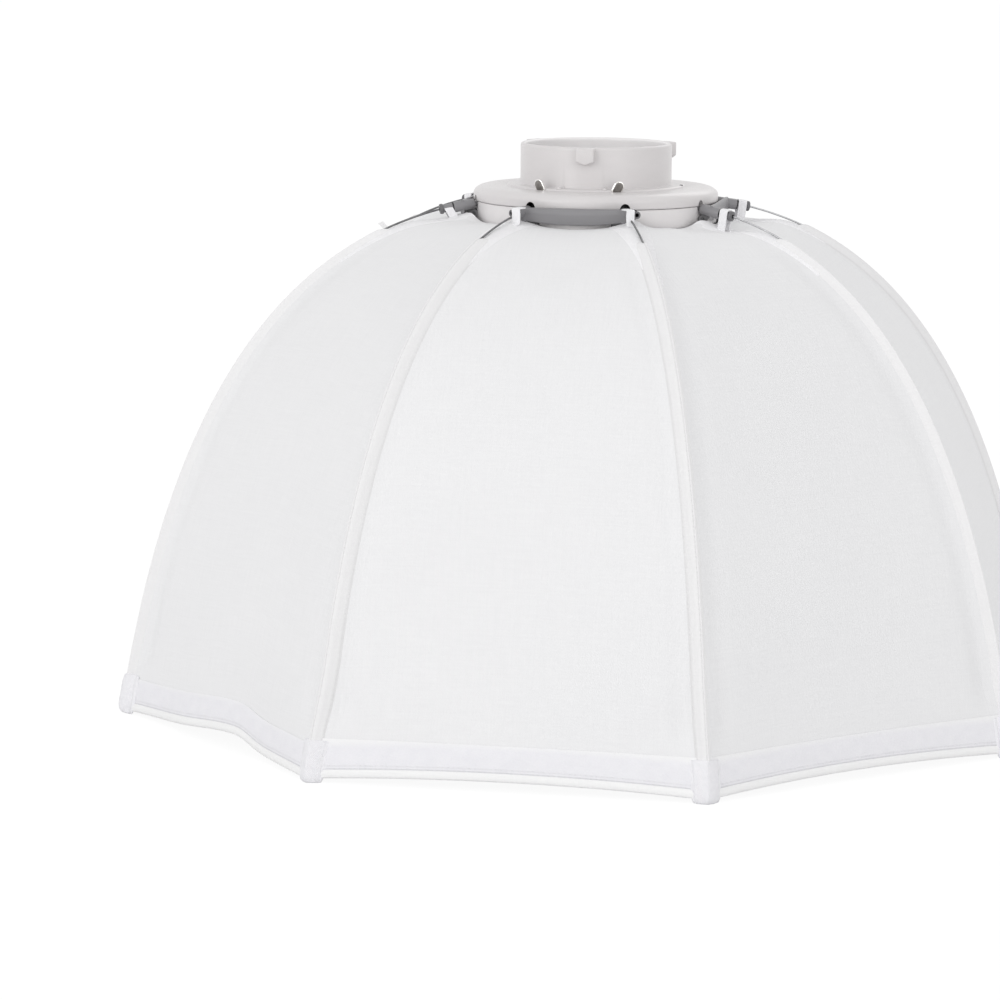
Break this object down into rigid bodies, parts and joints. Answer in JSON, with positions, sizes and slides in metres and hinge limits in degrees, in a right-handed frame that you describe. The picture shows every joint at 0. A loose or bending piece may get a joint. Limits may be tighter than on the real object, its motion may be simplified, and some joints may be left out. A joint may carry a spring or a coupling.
{
  "type": "studio softbox",
  "caption": "Octagonal white fabric softbox dome on a ring with a lugged bayonet neck; steel ribs in sewn pockets fold down on hinged handles.",
  "frame": {"origin": "on the dome's axis at floor level, under the eight corner caps it stands on", "axes": "+Z along the dome's axis from the open rim to the neck, -Y towards the front handle, which has a bayonet lug above it"},
  "size_m": [0.5784, 0.5784, 0.3656],
  "materials": {
    "ring_plastic": "light warm grey moulded plastic, satin",
    "handle_plastic": "mid grey moulded plastic, satin",
    "steel": "dark drawn spring steel",
    "chrome_spring": "bright plated spring steel",
    "cloth": "white tightly woven cloth",
    "tape": "white woven tape, stitched"
  },
  "bodies": {
    "ring": {"mount_insert": "ring_plastic", "flange": "ring_plastic", "lower_ring": "ring_plastic", "retaining_clip": "chrome_spring", "ring_screw_1": "steel", "ring_screw_2": "steel", "ring_screw_3": "steel", "ring_screw_4": "steel", "hinge_pin_front_a": "steel", "hinge_pin_front_b": "steel", "hinge_pin_right_a": "steel", "hinge_pin_right_b": "steel", "hinge_pin_rear_a": "steel", "hinge_pin_rear_b": "steel", "hinge_pin_left_a": "steel", "hinge_pin_left_b": "steel", "gusset_front": "cloth", "gusset_right": "cloth", "gusset_rear": "cloth", "gusset_left": "cloth"},
    "wing_front": {"handle_front": "handle_plastic", "panel_front": "cloth", "rib_1": "steel", "rib_pocket_1": "tape", "corner_cap_1": "tape", "tape_loop_1": "tape", "rib_2": "steel", "rib_pocket_2": "tape", "corner_cap_2": "tape", "tape_loop_2": "tape"},
    "wing_right": {"handle_right": "handle_plastic", "panel_right": "cloth", "rib_3": "steel", "rib_pocket_3": "tape", "corner_cap_3": "tape", "tape_loop_3": "tape", "rib_4": "steel", "rib_pocket_4": "tape", "corner_cap_4": "tape", "tape_loop_4": "tape"},
    "wing_rear": {"handle_rear": "handle_plastic", "panel_rear": "cloth", "rib_5": "steel", "rib_pocket_5": "tape", "corner_cap_5": "tape", "tape_loop_5": "tape", "rib_6": "steel", "rib_pocket_6": "tape", "corner_cap_6": "tape", "tape_loop_6": "tape"},
    "wing_left": {"handle_left": "handle_plastic", "panel_left": "cloth", "rib_7": "steel", "rib_pocket_7": "tape", "corner_cap_7": "tape", "tape_loop_7": "tape", "rib_8": "steel", "rib_pocket_8": "tape", "corner_cap_8": "tape", "tape_loop_8": "tape"}
  },
  "joints": [
    {"name": "fold_front", "type": "hinge", "parent": "ring", "child": "wing_front", "pos_m": [0, -0.0744, 0.3208], "axis": [1, 0, 0], "range_deg": [0, 22], "deforming": ["gusset_left", "gusset_front"]},
    {"name": "fold_right", "type": "hinge", "parent": "ring", "child": "wing_right", "pos_m": [0.0744, 0, 0.3208], "axis": [0, 1, 0], "range_deg": [0, 22], "deforming": ["gusset_front", "gusset_right"]},
    {"name": "fold_rear", "type": "hinge", "parent": "ring", "child": "wing_rear", "pos_m": [0, 0.0744, 0.3208], "axis": [-1, 0, 0], "range_deg": [0, 22], "deforming": ["gusset_right", "gusset_rear"]},
    {"name": "fold_left", "type": "hinge", "parent": "ring", "child": "wing_left", "pos_m": [-0.0744, 0, 0.3208], "axis": [0, -1, 0], "range_deg": [0, 22], "deforming": ["gusset_rear", "gusset_left"]}
  ]
}
